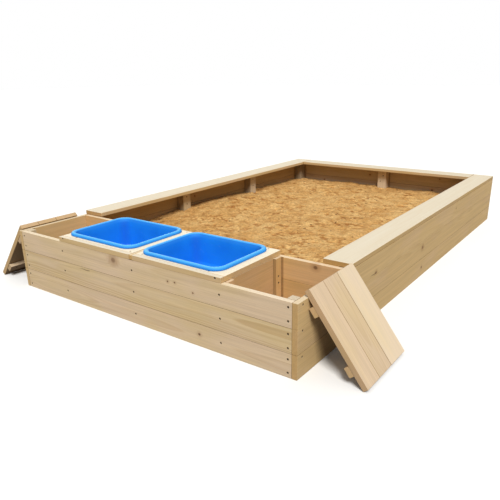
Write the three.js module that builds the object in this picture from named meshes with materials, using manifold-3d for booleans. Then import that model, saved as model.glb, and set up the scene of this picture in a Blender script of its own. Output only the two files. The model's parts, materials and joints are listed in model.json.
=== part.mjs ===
// A long timber sandpit: plank walls with a seat along three sides, a play deck with two plastic
// tubs across one end, and a storage box each side of the deck. The two storage lids are lifted
// off and lean against the outside of the side walls.
// Millimetres. +Z is up, +Y points from the play deck to the far end, and +X is to the right of
// someone who faces the deck end. The origin is on the ground at the middle of the wall box.
import * as THREE from "three";
import Module from "manifold-3d";
import { mergeVertices } from "three/addons/utils/BufferGeometryUtils.js";

const wasm = await Module();
wasm.setup();

// Wall box
const WIDTH = 1100; // outside, along X
const LENGTH = 1800; // outside, along Y
const BOARD = 15; // thickness of every plank
const COURSE = 66; // height of one plank in the walls
const COURSES = 3;
const GAP = 0.3; // clearance between pieces that touch

// Seats
const SEAT_WIDTH = 88;

// Posts and battens
const POST_THICK = 38; // out from the wall
const POST_WIDE = 46; // along the wall
const SIDE_POST_Y = [-133, 366];
const BACK_POST_X = 5;
const SLIM_POST = 24; // square posts in the storage boxes and behind the cross wall
const BATTEN_THICK = 10;
const BATTEN_WIDE = 27;

// Storage boxes and play deck
const BOX_INNER_DEPTH = 242.5; // front planks to cross wall
const DECK_HALF = 327; // middle of the box to the outer face of a divider
const DECK_BACK_STEP = 4.5; // the deck panels stop short of the back of the cross wall
const RAIL_WIDE = 12; // strip between the two deck panels
const FLOOR_THICK = 9;

// Tubs: size over the rim, corner radius and place of each centre
const TUB_LONG = 294;
const TUB_DEEP = 240;
const TUB_CORNER = 38;
const TUB_CENTRES = { left: [-177, -755], right: [155, -759] };
const TUB_HEIGHT = 100;
const RIM_HEIGHT = 9.5;
const RIM_WIDE = 13;
const TUB_WALL = 2.5;
const TUB_TAPER = 10; // how far each wall leans in from rim to floor
const FLOOR_FILLET = 14;
const RIM_NECK = 4; // rim top to where the rim's underside meets the wall
const CREST_DROP = 0.8; // how far the rim has fallen where it turns down inside
const CORNER_STEPS = 7;
const QUARTER_TURN = [0, 0.25, 0.5, 0.75, 1].map((share) => share * (Math.PI / 2));
const HOLE_CLEARANCE = 0.6; // tub wall to the edge of its cut-out

// Lids: boards run up the lean, two cleats cross the underside
const LID_LENGTH = 264;
const LID_WIDTHS = [66, 70, 87];
const LID_SEAM = 1;
const CLEAT_WIDE = 26;
const CLEAT_CENTRES = [53, 211]; // from the foot
const CLEAT_INSET = 1;
const LIDS = {
  right: { side: 1, foot: 149.6, angle: 52.9, nearY: -855.5 },
  left: { side: -1, foot: 166.7, angle: 49.94, nearY: -890 },
};

// Sand and what lies under it
const SHEET_THICK = 1.5;
const SAND_LEVEL = 106;
const HEAP = { height: 18, x: -470, y: 20, reachX: 190, reachY: 340 };
const WAVES = { height: 2.5, lengthX: 83, lengthY: 97, shift: 0.6 };
const RIPPLES = { height: 1.5, lengthX: 37, lengthY: 51 };
const SAND_COLUMNS = 14;
const SAND_ROWS = 20;
const NOTCH_GAP = 0.6; // sand to a post that stands in it

// Worked out from the sizes above
const WALL_HEIGHT = COURSE * COURSES;
const DECK_HEIGHT = WALL_HEIGHT + BOARD;
const OUT_X = WIDTH / 2;
const IN_X = OUT_X - BOARD;
const FRONT_Y = -LENGTH / 2;
const FRONT_IN_Y = FRONT_Y + BOARD;
const BACK_Y = LENGTH / 2;
const BACK_IN_Y = BACK_Y - BOARD;
const CROSS_FRONT_Y = FRONT_IN_Y + BOX_INNER_DEPTH;
const CROSS_BACK_Y = CROSS_FRONT_Y + BOARD;
const PLANK_TOP = WALL_HEIGHT - GAP;

function finish(color, roughness) {
  return new THREE.MeshStandardMaterial({ color, roughness, metalness: 0 });
}

const PINE_WALL = finish(0xcdb48c, 0.75);
const PINE_SEAT = finish(0xe9dcc4, 0.75);
const PINE_LID = finish(0xdcc39b, 0.75);
const PINE_INSIDE = finish(0xb8935f, 0.8);
const PLYWOOD = finish(0xc9a877, 0.8);
const BLUE_PLASTIC = finish(0x1273eb, 0.35);
const SAND = finish(0xd8aa68, 1.0);
const SHEET = finish(0x4a4d50, 0.95);

const sandpit = new THREE.Group();

// A plank or post as a box between two corners.
function timber(name, low, high, material, group = sandpit) {
  const size = high.map((value, axis) => value - low[axis]);
  const mesh = new THREE.Mesh(new THREE.BoxGeometry(...size), material);
  mesh.name = name;
  mesh.position.set(...low.map((value, axis) => value + size[axis] / 2));
  group.add(mesh);
  return mesh;
}

// Three planks standing on edge, one above the other.
function wall(name, lowX, lowY, highX, highY, material) {
  for (let course = 0; course < COURSES; course++) {
    const low = [lowX, lowY, course * COURSE];
    const high = [highX, highY, (course + 1) * COURSE - GAP];
    timber(`${name}_plank_${course + 1}`, low, high, material);
  }
}

function walls() {
  wall("right_side", IN_X, FRONT_Y, OUT_X, BACK_Y, PINE_WALL);
  wall("left_side", -OUT_X, FRONT_Y, -IN_X, BACK_Y, PINE_WALL);
  wall("front", -IN_X + GAP, FRONT_Y, IN_X - GAP, FRONT_IN_Y, PINE_WALL);
  wall("back", -IN_X + GAP, BACK_IN_Y, IN_X - GAP, BACK_Y, PINE_WALL);
  wall("cross_wall", -IN_X + GAP, CROSS_FRONT_Y, IN_X - GAP, CROSS_BACK_Y, PINE_INSIDE);
}

// Dividers close the inner side of each storage box and carry the deck; one more stands under the rail.
function dividers() {
  const places = {
    left_divider: -DECK_HALF,
    centre_divider: -BOARD / 2,
    right_divider: DECK_HALF - BOARD,
  };
  for (const [name, x] of Object.entries(places)) {
    const low = [x, FRONT_IN_Y + GAP, 0];
    const high = [x + BOARD, CROSS_FRONT_Y - GAP, PLANK_TOP];
    timber(name, low, high, PINE_INSIDE);
  }
}

// One side of the box at a time: side is 1 on the right and -1 on the left.
function spanX(side, inner, outer) {
  return side > 0 ? [inner, outer] : [-outer, -inner];
}

// Each storage box has a floor, a post in its outer front corner and two battens on the divider.
function storageBox(side, prefix) {
  const near = FRONT_IN_Y + GAP;
  const far = CROSS_FRONT_Y - GAP;
  const [floorLow, floorHigh] = spanX(side, DECK_HALF + GAP, IN_X - GAP);
  timber(`${prefix}_storage_floor`, [floorLow, near, 0], [floorHigh, far, FLOOR_THICK], PLYWOOD);

  const upright = (name, [lowX, highX], [lowY, highY]) => {
    const low = [lowX, lowY, FLOOR_THICK + GAP];
    timber(`${prefix}_${name}`, low, [highX, highY, PLANK_TOP], PINE_INSIDE);
  };
  const besideWall = spanX(side, IN_X - SLIM_POST, IN_X - GAP);
  const besideDivider = spanX(side, DECK_HALF + GAP, DECK_HALF + BATTEN_THICK);
  upright("front_post", besideWall, [near, FRONT_IN_Y + SLIM_POST]);
  upright("near_batten", besideDivider, [near, FRONT_IN_Y + BATTEN_WIDE]);
  upright("far_batten", besideDivider, [CROSS_FRONT_Y - BATTEN_WIDE, far]);
}

// A post that stands on the ground sheet, in the sand, and reaches up to the seats.
function sandPost(name, [lowX, highX], [lowY, highY]) {
  const low = [lowX, lowY, SHEET_THICK + GAP];
  return timber(name, low, [highX, highY, PLANK_TOP], PINE_INSIDE);
}

function sidePosts(side, prefix) {
  const acrossWide = spanX(side, IN_X - POST_THICK, IN_X - GAP);
  const acrossSlim = spanX(side, IN_X - SLIM_POST, IN_X - GAP);
  const middle = SIDE_POST_Y.map((y, index) => {
    const along = [y - POST_WIDE / 2, y + POST_WIDE / 2];
    return sandPost(`${prefix}_side_post_${index + 1}`, acrossWide, along);
  });
  const corner = [BACK_IN_Y - POST_WIDE, BACK_IN_Y - GAP];
  const cross = [CROSS_BACK_Y + GAP, CROSS_BACK_Y + SLIM_POST];
  return [
    ...middle,
    sandPost(`${prefix}_back_corner_post`, acrossWide, corner),
    sandPost(`${prefix}_cross_post`, acrossSlim, cross),
  ];
}

function backPost() {
  const across = [BACK_POST_X - POST_WIDE / 2, BACK_POST_X + POST_WIDE / 2];
  return sandPost("back_centre_post", across, [BACK_IN_Y - POST_THICK, BACK_IN_Y - GAP]);
}

// The side seats run through to the far end and the back seat fits between them.
function seats() {
  const inner = OUT_X - SEAT_WIDTH;
  const sideStart = CROSS_BACK_Y + GAP;
  timber("right_seat", [inner, sideStart, WALL_HEIGHT], [OUT_X, BACK_Y, DECK_HEIGHT], PINE_SEAT);
  timber("left_seat", [-OUT_X, sideStart, WALL_HEIGHT], [-inner, BACK_Y, DECK_HEIGHT], PINE_SEAT);
  const backLow = [-inner + GAP, BACK_Y - SEAT_WIDTH, WALL_HEIGHT];
  timber("back_seat", backLow, [inner - GAP, BACK_Y, DECK_HEIGHT], PINE_SEAT);
}

// Points round a rectangle with round corners, counterclockwise seen from above.
function roundedRectangle(halfX, halfY, radius) {
  const points = [];
  const corners = [[1, 1], [-1, 1], [-1, -1], [1, -1]];
  corners.forEach(([signX, signY], quarter) => {
    for (let step = 0; step <= CORNER_STEPS; step++) {
      const angle = (quarter + step / CORNER_STEPS) * (Math.PI / 2);
      const x = signX * (halfX - radius) + radius * Math.cos(angle);
      const y = signY * (halfY - radius) + radius * Math.sin(angle);
      points.push(new THREE.Vector2(x, y));
    }
  });
  return points;
}

// The outline of a tub's wall drawn in by inset from the outside of its rim.
function tubOutline(inset) {
  return roundedRectangle(TUB_LONG / 2 - inset, TUB_DEEP / 2 - inset, TUB_CORNER - inset);
}

function deckPanel(name, lowX, highX, [tubX, tubY]) {
  const frontY = FRONT_IN_Y + GAP;
  const backY = CROSS_BACK_Y - DECK_BACK_STEP;
  const outline = new THREE.Shape([
    new THREE.Vector2(lowX, frontY),
    new THREE.Vector2(highX, frontY),
    new THREE.Vector2(highX, backY),
    new THREE.Vector2(lowX, backY),
  ]);
  const centre = new THREE.Vector2(tubX, tubY);
  const hole = tubOutline(RIM_WIDE - HOLE_CLEARANCE).map((point) => point.add(centre));
  outline.holes.push(new THREE.Path(hole.reverse()));
  const panel = new THREE.Mesh(
    new THREE.ExtrudeGeometry(outline, { depth: BOARD, bevelEnabled: false }),
    PINE_SEAT,
  );
  panel.name = name;
  panel.position.z = WALL_HEIGHT;
  sandpit.add(panel);
}

function deck() {
  const railHalf = RAIL_WIDE / 2;
  const backY = CROSS_BACK_Y - DECK_BACK_STEP;
  timber("centre_rail", [-railHalf, FRONT_Y, WALL_HEIGHT], [railHalf, backY, DECK_HEIGHT], PINE_SEAT);
  const inner = railHalf + GAP;
  timber("left_fascia", [-DECK_HALF, FRONT_Y, WALL_HEIGHT], [-inner, FRONT_IN_Y, DECK_HEIGHT], PINE_WALL);
  timber("right_fascia", [inner, FRONT_Y, WALL_HEIGHT], [DECK_HALF, FRONT_IN_Y, DECK_HEIGHT], PINE_WALL);
  deckPanel("left_tub_panel", -DECK_HALF, -inner, TUB_CENTRES.left);
  deckPanel("right_tub_panel", inner, DECK_HALF, TUB_CENTRES.right);
}

// A closed skin through rings of equal point count, flat at its first and last ring.
function loft(rings) {
  const positions = [];
  const triangles = [];
  const count = rings[0].points.length;
  for (const { points, z } of rings) {
    for (const point of points) positions.push(point.x, point.y, z);
  }
  for (let ring = 0; ring + 1 < rings.length; ring++) {
    for (let index = 0; index < count; index++) {
      const next = (index + 1) % count;
      const a = ring * count + index;
      const b = ring * count + next;
      const c = (ring + 1) * count + next;
      const d = (ring + 1) * count + index;
      triangles.push(a, b, c, a, c, d);
    }
  }
  for (const [ring, down] of [[0, true], [rings.length - 1, false]]) {
    const first = ring * count;
    for (let index = 1; index + 1 < count; index++) {
      const pair = [first + index, first + index + 1];
      triangles.push(first, ...(down ? pair.reverse() : pair));
    }
  }
  const geometry = new THREE.BufferGeometry();
  geometry.setAttribute("position", new THREE.Float32BufferAttribute(positions, 3));
  geometry.setIndex(triangles);
  geometry.computeVertexNormals();
  return geometry;
}

// How far in from the rim's outside the tub's outer skin is, at a height above the tub's own floor.
function wallInset(height) {
  return RIM_WIDE + TUB_TAPER * (1 - height / TUB_HEIGHT);
}

// Rings round the fillet between floor and wall, from the floor outwards.
function floorFillet(floorHeight, skinInset, radius) {
  return QUARTER_TURN.map((angle) => {
    const height = floorHeight + radius * (1 - Math.cos(angle));
    const inset = wallInset(height) + skinInset + radius * (1 - Math.sin(angle));
    return { points: tubOutline(inset), z: height };
  });
}

// A tub is one skin: up its outside, over the rolled rim and down its inside.
function tub(name, [x, y]) {
  const rimBottom = TUB_HEIGHT - RIM_HEIGHT;
  const lipRadius = RIM_WIDE / 2;
  const outerRoll = QUARTER_TURN.map((angle) => {
    const height = TUB_HEIGHT - lipRadius * (1 - Math.sin(angle));
    return { points: tubOutline(lipRadius * (1 - Math.cos(angle))), z: height };
  });
  const rings = [
    ...floorFillet(0, 0, FLOOR_FILLET),
    { points: tubOutline(RIM_WIDE), z: TUB_HEIGHT - RIM_NECK },
    { points: tubOutline(lipRadius), z: TUB_HEIGHT - TUB_WALL },
    { points: tubOutline(TUB_WALL), z: TUB_HEIGHT - TUB_WALL - lipRadius / 2 },
    { points: tubOutline(TUB_WALL), z: rimBottom },
    { points: tubOutline(0), z: rimBottom },
    ...outerRoll,
    { points: tubOutline(RIM_WIDE), z: TUB_HEIGHT - CREST_DROP },
    { points: tubOutline(RIM_WIDE + TUB_WALL), z: TUB_HEIGHT - TUB_WALL },
    ...floorFillet(TUB_WALL, TUB_WALL, FLOOR_FILLET - TUB_WALL).reverse(),
  ];
  const mesh = new THREE.Mesh(loft(rings), BLUE_PLASTIC);
  mesh.name = name;
  mesh.position.set(x, y, DECK_HEIGHT + GAP - rimBottom);
  sandpit.add(mesh);
}

// A lid in a tilted frame of its own: local X runs along its boards, and local Z is its top face.
function lid(prefix, { side, foot, angle, nearY }) {
  const group = new THREE.Group();
  group.position.set(side * (OUT_X + foot), nearY, 0);
  group.rotation.y = side * THREE.MathUtils.degToRad(angle);
  const along = (from, to) => (side > 0 ? [-to, -from] : [from, to]);
  const [start, end] = along(0, LID_LENGTH);
  let y = 0;
  LID_WIDTHS.forEach((width, index) => {
    const name = `${prefix}_lid_board_${index + 1}`;
    timber(name, [start, y, 0], [end, y + width - LID_SEAM, BOARD], PINE_LID, group);
    y += width;
  });
  CLEAT_CENTRES.forEach((centre, index) => {
    const [low, high] = along(centre - CLEAT_WIDE / 2, centre + CLEAT_WIDE / 2);
    const name = `${prefix}_lid_cleat_${index + 1}`;
    timber(name, [low, CLEAT_INSET, -BOARD], [high, y - LID_SEAM - CLEAT_INSET, -GAP], PINE_LID, group);
  });
  sandpit.add(group);
}

function groundSheet() {
  const low = [-IN_X + GAP, CROSS_BACK_Y + GAP, 0];
  timber("ground_sheet", low, [IN_X - GAP, BACK_IN_Y - GAP, SHEET_THICK], SHEET);
}

// Sand level: heaped along the left wall and trodden into shallow hollows elsewhere.
function sandHeight(x, y) {
  const awayX = (x - HEAP.x) / HEAP.reachX;
  const awayY = (y - HEAP.y) / HEAP.reachY;
  const heap = HEAP.height * Math.exp(-(awayX ** 2) - awayY ** 2);
  const across = Math.sin(x / WAVES.lengthX + WAVES.shift) * Math.cos(y / WAVES.lengthY);
  const slanting = Math.sin(x / RIPPLES.lengthX - y / RIPPLES.lengthY);
  return SAND_LEVEL + heap + WAVES.height * across + RIPPLES.height * slanting;
}

function solid(geometry) {
  const bare = geometry.clone();
  bare.deleteAttribute("normal");
  bare.deleteAttribute("uv");
  const merged = mergeVertices(bare);
  const vertProperties = new Float32Array(merged.getAttribute("position").array);
  const triVerts = new Uint32Array(merged.getIndex().array);
  return new wasm.Manifold(new wasm.Mesh({ numProp: 3, vertProperties, triVerts }));
}

function geometryOf(manifold) {
  const { vertProperties, triVerts } = manifold.getMesh();
  const geometry = new THREE.BufferGeometry();
  geometry.setAttribute("position", new THREE.BufferAttribute(vertProperties, 3));
  geometry.setIndex(new THREE.BufferAttribute(triVerts, 1));
  geometry.computeVertexNormals();
  return geometry;
}

// The sand is a block whose top follows sandHeight, notched round every post that stands in it.
function sand(posts) {
  const size = [2 * (IN_X - GAP), BACK_IN_Y - CROSS_BACK_Y - 2 * GAP, SAND_LEVEL];
  const centreY = (BACK_IN_Y + CROSS_BACK_Y) / 2;
  const bottom = SHEET_THICK + GAP;
  const block = new THREE.BoxGeometry(...size, SAND_COLUMNS, SAND_ROWS, 1);
  block.translate(0, centreY, SAND_LEVEL / 2);
  const position = block.getAttribute("position");
  for (let index = 0; index < position.count; index++) {
    const onTop = position.getZ(index) > SAND_LEVEL / 2;
    const z = onTop ? sandHeight(position.getX(index), position.getY(index)) : bottom;
    position.setZ(index, z);
  }
  let body = solid(block);
  for (const post of posts) {
    const { width, height, depth } = post.geometry.parameters;
    const grown = [width + 2 * NOTCH_GAP, height + 2 * NOTCH_GAP, 2 * depth];
    const notch = new THREE.BoxGeometry(...grown);
    notch.translate(...post.position.toArray());
    body = body.subtract(solid(notch));
  }
  const mesh = new THREE.Mesh(geometryOf(body), SAND);
  mesh.name = "sand";
  sandpit.add(mesh);
}

walls();
dividers();
storageBox(1, "right");
storageBox(-1, "left");
const postsInSand = [...sidePosts(1, "right"), ...sidePosts(-1, "left"), backPost()];
seats();
deck();
tub("left_tub", TUB_CENTRES.left);
tub("right_tub", TUB_CENTRES.right);
lid("right", LIDS.right);
lid("left", LIDS.left);
groundSheet();
sand(postsInSand);

export default sandpit;
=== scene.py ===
import itertools
import json
import math
import random

import bmesh
import bpy
import numpy as np
from mathutils import Matrix, Vector, noise


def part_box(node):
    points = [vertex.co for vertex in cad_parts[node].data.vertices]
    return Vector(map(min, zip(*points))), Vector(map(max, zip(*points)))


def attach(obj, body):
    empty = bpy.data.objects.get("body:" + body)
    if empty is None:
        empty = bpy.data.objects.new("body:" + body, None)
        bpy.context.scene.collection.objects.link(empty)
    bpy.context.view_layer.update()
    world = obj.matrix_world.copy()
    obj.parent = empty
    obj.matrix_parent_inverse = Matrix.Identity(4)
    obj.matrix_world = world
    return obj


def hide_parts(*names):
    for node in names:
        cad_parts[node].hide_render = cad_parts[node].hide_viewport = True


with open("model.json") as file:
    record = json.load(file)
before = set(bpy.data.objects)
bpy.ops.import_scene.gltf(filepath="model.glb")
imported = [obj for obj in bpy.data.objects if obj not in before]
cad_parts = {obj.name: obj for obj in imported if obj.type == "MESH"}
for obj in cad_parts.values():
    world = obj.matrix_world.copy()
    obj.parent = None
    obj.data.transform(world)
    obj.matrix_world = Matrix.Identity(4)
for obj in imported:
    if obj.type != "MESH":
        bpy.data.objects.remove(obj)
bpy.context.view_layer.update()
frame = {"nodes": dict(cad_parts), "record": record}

MM = 0.001
ROOT = "sandpit"
SLOTS = {part["node"]: part["material_slot"] for part in frame["record"]["subparts"]}
BODIES = {node: body for body, nodes in frame["record"]["behaviour"]["bodies"].items() for node in nodes}

# Timber edges
EDGE = 0.5 * MM  # rounding of a planed edge
SOFT_EDGE = 2.0 * MM  # rounding of the seats and of the rail between the tubs
EDGE_STEPS = 3
STATION = 24 * MM  # longest stretch of a board between two sections
EDGE_WEAR = 0.4  # how much the rounding varies along a board
PLANED = 0.12 * MM  # unevenness left by the planer
SEAM_REACH = 2.2 * MM  # a face this close to another board is in a joint
SQUARE = 0.9995  # a face whose normal is this close to one of its board's axes is flat
SEAT_UNDERSIDE = 198 * MM
SAND_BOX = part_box("sand")

# How much painted top light pales the upward faces, where 1 is quite pale: the first word that fits counts
PAINTED_TOP_LIGHT = {
    "back_seat": 0.9,
    "seat": 0.94,
    "fascia": 0.9,
    "tub_panel": 0.96,
    "right_lid_board_3": 0.35,
    "lid": 0.1,
}
PAINTED_TOP_LIGHT_ELSEWHERE = 0.5
# How much painted shade darkens the wood, from 0 to 1
WALL_PAINTED_SHADE = 0.6  # walls beside the sand
POST_PAINTED_SHADE = 0.06  # posts beside the sand
CORNER_PAINTED_SHADE = 0.8  # posts in the far corners
NEAR_PAINTED_SHADE = 0.85  # the sides of side posts and far battens that face the front
LID_UNDERSIDE_PAINTED_SHADE = 0.62  # painted shade on a lid's underside, where a joint's full dark is 1
# How much of the end grain's colour some ends have, where the others have all of it
PALE_ENDS = {
    "tub_panel": 0.4,
    "fascia": 0.4,
    "rail": 0.4,
    "cleat": 0.4,
    "right_side_plank": 0.7,
    "left_side_plank": 0.1,
}
SAWN_EDGE = 0.8  # how much of it a lid's long sides have

# How dark the joint between two boards is, from 0 to 1
JOINT = 0.55
FLUSH_JOINT = 0.12
JOINTS = {
    frozenset(("right_side_plank_2", "right_side_plank_3")): 0.15,
    frozenset(("right_lid_board_1", "right_lid_board_2")): 0.2,
    frozenset(("cross_wall_plank_2", "cross_wall_plank_3")): 0.3,
}

# Screws
PIT_RADIUS = 3.3 * MM
PIT_DEPTH = 1.7 * MM
PIT_TAPER = 0.88  # the bottom's radius as a share of the top's
HEAD_RADIUS = 3.0 * MM
HEAD_SINK = 0.45 * MM
HEAD_CREASE = 35  # degrees, from which an edge is sharp
RECESS = 0.7  # how far the cross-shaped recess is drawn in between its arms
SCREW_SIDES = 24
ON_FACE = 0.6 * MM  # a screw this close to the face of a board is in it
FRONT = Vector((0, -1, 0))
CORNER_INSET = 26 * MM
SIDE_INSET = 23 * MM
HALF_BOARD = 7.5 * MM
# Heights of the screws above the ground, in millimetres
CORNER_ROWS = (184, 148.5, 116, 79, 49.5, 13)
MIDDLE_ROWS = (167, 101, 32)
SIDE_ROWS = (189, 123, 54)
BATTEN_ROWS = (143, 123, 40)
POST_ROWS = (178, 146)

# Tubs
TUB_CORNER = 38 * MM
TUB_INNER_CORNER = 31 * MM
TUB_HEIGHT = 100 * MM
RIM_HEIGHT = 9.5 * MM
RIM_WIDE = 13 * MM
TUB_WALL = 2.5 * MM
TUB_TAPER = 10 * MM
TUB_FILLET = 14 * MM
TUB_CORNER_STEPS = 14
TUB_ROUND_STEPS = 8
TUB_CREASE = 50  # degrees, from which an edge is sharp
HOLE_CLEARANCE = 0.6 * MM
PANEL_SEEDS = {"left": 31, "right": 57}

# Sand
SAND_LEVEL = 106 * MM
SAND_GRID = 4.1 * MM
NOTCH_GAP = 0.6 * MM
HEAP_HEIGHT = 18  # of the heap along the left wall, here and below in millimetres
HEAP_AT = (-470, 20)
HEAP_REACH = (190, 340)
WAVE_HEIGHT = 2.5
WAVE_LENGTH = (83, 97)
WAVE_SHIFT = 0.6
RIPPLE_HEIGHT = 1.5
RIPPLE_LENGTH = (37, 51)

# Ground sheet
SHEET_THICKNESS = 0.9 * MM
SHEET_CREASE = 0.4 * MM
SHEET_GRID = (60, 84)


# ---- meshes

def new_object(name, mesh):
    made = bpy.data.objects.new(name, mesh)
    bpy.context.scene.collection.objects.link(made)
    return made


def mesh_from(name, points, faces):
    mesh = bpy.data.meshes.new(name)
    mesh.from_pydata([tuple(point) for point in points], [], faces)
    shape = bmesh.new()
    shape.from_mesh(mesh)
    bmesh.ops.recalc_face_normals(shape, faces=shape.faces)
    shape.to_mesh(mesh)
    shape.free()
    return mesh


def loft_faces(ring_count, ring_size, around=False):
    """Quads between rings of points, with a cap on both ends, or from the last to the first if around."""
    faces = []
    for ring in range(ring_count if around else ring_count - 1):
        here = ring * ring_size
        there = (ring + 1) % ring_count * ring_size
        for index in range(ring_size):
            beside = (index + 1) % ring_size
            faces.append((here + index, here + beside, there + beside, there + index))
    if not around:
        faces.append(tuple(range(ring_size)))
        faces.append(tuple((ring_count - 1) * ring_size + index for index in range(ring_size)))
    return faces


def rounded_rectangle(half_x, half_y, radii, steps):
    """Points round a rectangle, counterclockwise from +X, with a radius for each corner."""
    points = []
    signs = [(1, 1), (-1, 1), (-1, -1), (1, -1)]
    for quarter, ((sign_x, sign_y), radius) in enumerate(zip(signs, radii)):
        for step in range(steps + 1):
            angle = (quarter + step / steps) * math.pi / 2
            x = sign_x * (half_x - radius) + radius * math.cos(angle)
            y = sign_y * (half_y - radius) + radius * math.sin(angle)
            points.append((x, y))
    return points


def smooth_round_faces(mesh, axes):
    """Smooth shading on rounded edges, flat shading on faces square to one of the axes."""
    for face in mesh.polygons:
        face.use_smooth = max(abs(face.normal.dot(axis)) for axis in axes) < SQUARE


def put_attribute(mesh, name, kind, domain, values):
    field = "value" if kind == "FLOAT" else "vector"
    made = mesh.attributes.new(name, kind, domain)
    flat = values if kind == "FLOAT" else [part for value in values for part in value]
    made.data.foreach_set(field, flat)


def spread(mesh, name, vector):
    """Gives every point of a mesh the same vector."""
    put_attribute(mesh, name, "FLOAT_VECTOR", "POINT", [vector] * len(mesh.vertices))


# ---- boards

def corners(node):
    """The eight corners of a node that is a plain board."""
    found = []
    for vertex in frame["nodes"][node].data.vertices:
        if all((vertex.co - other).length > 0.1 * MM for other in found):
            found.append(vertex.co.copy())
    return found


def pointing_up(axis):
    largest = max(axis, key=abs)
    return axis.normalized() if largest > 0 else -axis.normalized()


def square_on(first, second):
    return abs(first.dot(second)) < 1e-4 * first.length * second.length + 1e-9


def board_frame(node):
    """A matrix from board space, X along the grain, Y across and Z through it, and the board's size."""
    points = corners(node)
    spokes = [point - points[0] for point in points[1:]]
    for trio in itertools.combinations(spokes, 3):
        if all(square_on(*pair) for pair in itertools.combinations(trio, 2)):
            edges = sorted(trio, key=lambda edge: -edge.length)
    along = pointing_up(edges[0])
    across = pointing_up(edges[1])
    matrix = Matrix((along, across, along.cross(across))).transposed().to_4x4()
    matrix.translation = sum(points, Vector()) / len(points)
    return matrix, Vector(edge.length for edge in edges)


def stations(length, radius):
    """(place along the board, how far the section is drawn in there), with round ends."""
    ends = []
    for step in range(EDGE_STEPS):
        angle = step / EDGE_STEPS * math.pi / 2
        ends.append((length / 2 - radius * (1 - math.cos(angle)), radius * (1 - math.sin(angle))))
    inner = length / 2 - radius
    count = max(1, math.ceil(2 * inner / STATION))
    middle = [(inner * (2 * index / count - 1), 0) for index in range(count + 1)]
    return [(-place, inset) for place, inset in ends] + middle + ends[::-1]


def board_mesh(name, matrix, size, edge, seed):
    """A planed board whose rounded edges and faces vary slightly along its length."""
    points = []
    places = stations(size.x, edge)
    for place, inset in places:
        radii = []
        for corner in range(4):
            wear = noise.noise(Vector((place * 11, corner * 5.3, seed)))
            radii.append(max(edge * (1 + EDGE_WEAR * wear) - inset, edge * 0.15))
        uneven = PLANED * (0.5 + 0.5 * noise.noise(Vector((place * 7, seed, 3.1))))
        half_y = size.y / 2 - inset - uneven
        half_z = size.z / 2 - inset - uneven
        section = rounded_rectangle(half_y, half_z, radii, EDGE_STEPS)
        points += [matrix @ Vector((place, y, z)) for y, z in section]
    return mesh_from(name, points, loft_faces(len(places), 4 * (EDGE_STEPS + 1)))


def circle(radius, height, crossed=0.0):
    """A ring of points, drawn in by a share between four arms where it is crossed."""
    points = []
    for index in range(SCREW_SIDES):
        turn = index / SCREW_SIDES * math.tau
        reach = radius * (1 - crossed + crossed * abs(math.cos(2 * turn)) ** 3)
        points.append(Vector((reach * math.cos(turn), reach * math.sin(turn), height)))
    return points


def at_screws(name, rings, screws, twists):
    """One closed shape for each screw, all built from the same rings."""
    points = []
    faces = []
    for (place, outward), twist in zip(screws, twists):
        turn = outward.to_track_quat("Z", "Y").to_matrix() @ Matrix.Rotation(twist, 3, "Z")
        start = len(points)
        points += [place + turn @ point for ring in rings for point in ring]
        faces += [tuple(start + index for index in face) for face in loft_faces(len(rings), SCREW_SIDES)]
    return mesh_from(name, points, faces)


def cut_pits(timber, screws):
    """Cuts a countersunk pit for each screw out of a board."""
    rings = [circle(PIT_RADIUS, PIT_DEPTH), circle(PIT_RADIUS * PIT_TAPER, -PIT_DEPTH)]
    cutter = new_object("pits", at_screws("pits", rings, screws, [0] * len(screws)))
    step = timber.modifiers.new("pits", "BOOLEAN")
    step.object = cutter
    step.operation = "DIFFERENCE"
    step.solver = "EXACT"
    ready = timber.evaluated_get(bpy.context.evaluated_depsgraph_get())
    cut = bpy.data.meshes.new_from_object(ready)
    timber.modifiers.clear()
    timber.data = cut
    bpy.data.objects.remove(cutter)


def screws_in(matrix, size):
    """The screws whose heads lie on one of this board's faces."""
    inverse = matrix.inverted()
    found = []
    for place, outward in SCREWS:
        local = inverse @ place
        outside = max(abs(local[axis]) - size[axis] / 2 for axis in range(3))
        if abs(outside) < ON_FACE:
            found.append((place, outward))
    return found


NOWHERE = (9000, 9000, 1)  # a knot or crack that is far off the board


def joint_shade(node, other):
    """How dark the joint between two boards is: seats and fascias are planed flush, most planks aren't."""
    if "seat" in node + other or "fascia" in node + other:
        return FLUSH_JOINT
    return JOINTS.get(frozenset((node, other)), JOINT)


def seam_and_painted_shade_faces(node, mesh, matrix):
    """How dark each face is for lying in a joint to a neighbouring board, or for the painted shade on a
    lid's underside.
    """
    centres = np.array([face.center for face in mesh.polygons])
    normals = np.array([face.normal for face in mesh.polygons])
    shade = np.zeros(len(centres))
    for other, (other_matrix, other_size) in BOARD_FRAMES.items():
        if other == node:
            continue
        inverse = np.array(other_matrix.inverted())
        half = np.array(other_size) / 2 + 0.1 * MM
        for axis in matrix.to_3x3().transposed():
            lean = normals @ np.array(axis)
            probe = centres + np.outer(np.sign(lean) * SEAM_REACH, np.array(axis))
            local = probe @ inverse[:3, :3].T + inverse[:3, 3]
            in_seam = (np.abs(lean) > 0.2) & (np.abs(local) < half).all(axis=1)
            shade = np.maximum(shade, in_seam * joint_shade(node, other))
    # Painted shade: a lid's underside is darkened towards the joints' dark brown
    if "lid" in node:
        shade[normals[:, 2] < -0.3] = LID_UNDERSIDE_PAINTED_SHADE
    return shade.tolist()


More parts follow.
